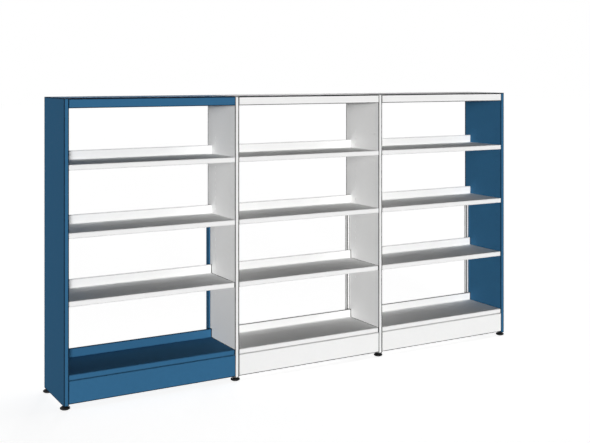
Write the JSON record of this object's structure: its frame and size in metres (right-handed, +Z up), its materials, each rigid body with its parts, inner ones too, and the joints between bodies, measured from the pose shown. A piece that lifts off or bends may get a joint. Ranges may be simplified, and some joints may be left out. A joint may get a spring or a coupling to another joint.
{
  "type": "library shelving unit",
  "caption": "Free-standing single-sided library shelving of folded sheet steel: panel uprights, canopies, lift-off shelves with back lips, plinths, rear braces and levelling feet.",
  "frame": {"origin": "on the floor, under the middle of the unit's length and depth", "axes": "+X along the unit to the right as seen from its front, +Y from front to rear, +Z up"},
  "size_m": [2.825, 0.35, 1.52],
  "materials": {
    "blue_coat": "matt powder coat",
    "white_coat": "matt powder coat",
    "black_nylon": "moulded matt",
    "zinc_plate": "bright zinc plate"
  },
  "bodies": {
    "frame": {"panel_left_end": "blue_coat", "top_cap_left_end": "blue_coat", "foot_channel_left_end": "zinc_plate", "panel_left_divider": "white_coat", "top_cap_left_divider": "white_coat", "foot_channel_left_divider": "zinc_plate", "panel_right_divider": "white_coat", "top_cap_right_divider": "white_coat", "foot_channel_right_divider": "zinc_plate", "panel_right_end": "blue_coat", "top_cap_right_end": "blue_coat", "foot_channel_right_end": "zinc_plate", "canopy_left": "blue_coat", "base_shelf_left": "blue_coat", "plinth_left": "blue_coat", "brace_left": "blue_coat", "bracket_left_high_left": "white_coat", "bracket_left_high_right": "white_coat", "bracket_left_mid_left": "white_coat", "bracket_left_mid_right": "white_coat", "bracket_left_low_left": "white_coat", "bracket_left_low_right": "white_coat", "canopy_middle": "white_coat", "base_shelf_middle": "white_coat", "plinth_middle": "white_coat", "brace_middle": "white_coat", "bracket_middle_high_left": "white_coat", "bracket_middle_high_right": "white_coat", "bracket_middle_mid_left": "white_coat", "bracket_middle_mid_right": "white_coat", "bracket_middle_low_left": "white_coat", "bracket_middle_low_right": "white_coat", "canopy_right": "white_coat", "base_shelf_right": "white_coat", "plinth_right": "white_coat", "brace_right": "white_coat", "bracket_right_high_left": "white_coat", "bracket_right_high_right": "white_coat", "bracket_right_mid_left": "white_coat", "bracket_right_mid_right": "white_coat", "bracket_right_low_left": "white_coat", "bracket_right_low_right": "white_coat"},
    "foot_left_end_front": {"foot_left_end_front": "black_nylon"},
    "foot_left_end_rear": {"foot_left_end_rear": "black_nylon"},
    "foot_left_divider_front": {"foot_left_divider_front": "black_nylon"},
    "foot_left_divider_rear": {"foot_left_divider_rear": "black_nylon"},
    "foot_right_divider_front": {"foot_right_divider_front": "black_nylon"},
    "foot_right_divider_rear": {"foot_right_divider_rear": "black_nylon"},
    "foot_right_end_front": {"foot_right_end_front": "black_nylon"},
    "foot_right_end_rear": {"foot_right_end_rear": "black_nylon"},
    "shelf_left_high": {"shelf_left_high": "white_coat"},
    "shelf_left_mid": {"shelf_left_mid": "white_coat"},
    "shelf_left_low": {"shelf_left_low": "white_coat"},
    "shelf_middle_high": {"shelf_middle_high": "white_coat"},
    "shelf_middle_mid": {"shelf_middle_mid": "white_coat"},
    "shelf_middle_low": {"shelf_middle_low": "white_coat"},
    "shelf_right_high": {"shelf_right_high": "white_coat"},
    "shelf_right_mid": {"shelf_right_mid": "white_coat"},
    "shelf_right_low": {"shelf_right_low": "white_coat"}
  },
  "joints": [
    {"name": "level_foot_left_end_front", "type": "slide", "parent": "frame", "child": "foot_left_end_front", "axis": [0, 0, -1], "range_m": [-0.004, 0.015]},
    {"name": "level_foot_left_end_rear", "type": "slide", "parent": "frame", "child": "foot_left_end_rear", "axis": [0, 0, -1], "range_m": [-0.004, 0.015]},
    {"name": "level_foot_left_divider_front", "type": "slide", "parent": "frame", "child": "foot_left_divider_front", "axis": [0, 0, -1], "range_m": [-0.004, 0.015]},
    {"name": "level_foot_left_divider_rear", "type": "slide", "parent": "frame", "child": "foot_left_divider_rear", "axis": [0, 0, -1], "range_m": [-0.004, 0.015]},
    {"name": "level_foot_right_divider_front", "type": "slide", "parent": "frame", "child": "foot_right_divider_front", "axis": [0, 0, -1], "range_m": [-0.004, 0.015]},
    {"name": "level_foot_right_divider_rear", "type": "slide", "parent": "frame", "child": "foot_right_divider_rear", "axis": [0, 0, -1], "range_m": [-0.004, 0.015]},
    {"name": "level_foot_right_end_front", "type": "slide", "parent": "frame", "child": "foot_right_end_front", "axis": [0, 0, -1], "range_m": [-0.004, 0.015]},
    {"name": "level_foot_right_end_rear", "type": "slide", "parent": "frame", "child": "foot_right_end_rear", "axis": [0, 0, -1], "range_m": [-0.004, 0.015]},
    {"name": "lift_shelf_left_high", "type": "slide", "parent": "frame", "child": "shelf_left_high", "axis": [0, 0, 1], "range_m": [0, 0.24]},
    {"name": "lift_shelf_left_mid", "type": "slide", "parent": "frame", "child": "shelf_left_mid", "axis": [0, 0, 1], "range_m": [0, 0.24]},
    {"name": "lift_shelf_left_low", "type": "slide", "parent": "frame", "child": "shelf_left_low", "axis": [0, 0, 1], "range_m": [0, 0.24]},
    {"name": "lift_shelf_middle_high", "type": "slide", "parent": "frame", "child": "shelf_middle_high", "axis": [0, 0, 1], "range_m": [0, 0.24]},
    {"name": "lift_shelf_middle_mid", "type": "slide", "parent": "frame", "child": "shelf_middle_mid", "axis": [0, 0, 1], "range_m": [0, 0.24]},
    {"name": "lift_shelf_middle_low", "type": "slide", "parent": "frame", "child": "shelf_middle_low", "axis": [0, 0, 1], "range_m": [0, 0.24]},
    {"name": "lift_shelf_right_high", "type": "slide", "parent": "frame", "child": "shelf_right_high", "axis": [0, 0, 1], "range_m": [0, 0.24]},
    {"name": "lift_shelf_right_mid", "type": "slide", "parent": "frame", "child": "shelf_right_mid", "axis": [0, 0, 1], "range_m": [0, 0.24]},
    {"name": "lift_shelf_right_low", "type": "slide", "parent": "frame", "child": "shelf_right_low", "axis": [0, 0, 1], "range_m": [0, 0.24]}
  ]
}
